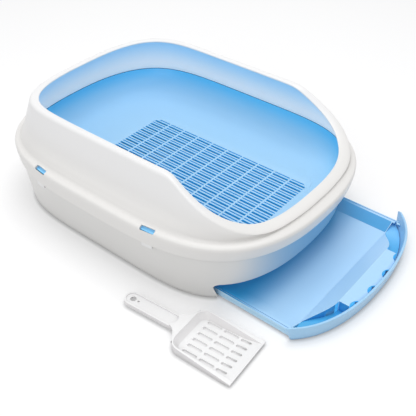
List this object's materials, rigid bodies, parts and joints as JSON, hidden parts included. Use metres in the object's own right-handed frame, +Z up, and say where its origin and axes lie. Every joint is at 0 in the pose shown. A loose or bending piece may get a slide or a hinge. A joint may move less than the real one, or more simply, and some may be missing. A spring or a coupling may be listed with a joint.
{
  "type": "drawer litter box",
  "caption": "Oval open litter box with a slotted bowl, a tall clip-on shield with a low entry, a pull-out waste tray below and a slotted scoop lying beside it.",
  "frame": {"origin": "middle of the base's underside, on the floor", "axes": "+X is the long way, towards the entry and the way the tray pulls out; +Z is up; the scoop lies on the -Y side"},
  "size_m": [0.6319, 0.462, 0.1783],
  "materials": {
    "base_white": "satin",
    "pan_blue": "satin",
    "shield_white": "satin",
    "tray_blue": "satin",
    "front_blue": "satin",
    "scoop_white": "satin"
  },
  "bodies": {
    "base": {"base_shell": "base_white"},
    "drawer": {"drawer_tray": "tray_blue", "drawer_front": "front_blue"},
    "pan": {"sieve_pan": "pan_blue"},
    "shield": {"shield": "shield_white"},
    "scoop": {"scoop": "scoop_white"}
  },
  "joints": [
    {"name": "drawer_slide", "type": "slide", "parent": "base", "child": "drawer", "axis": [1, 0, 0], "range_m": [-0.12, 0.1]},
    {"name": "pan_lift", "type": "slide", "parent": "base", "child": "pan", "axis": [0, 0, 1], "range_m": [0, 0.12]},
    {"name": "shield_lift", "type": "slide", "parent": "pan", "child": "shield", "axis": [0, 0, 1], "range_m": [0, 0.12]},
    {"name": "scoop_lift", "type": "slide", "parent": "base", "child": "scoop", "axis": [0, 0, 1], "range_m": [0, 0.2]}
  ]
}
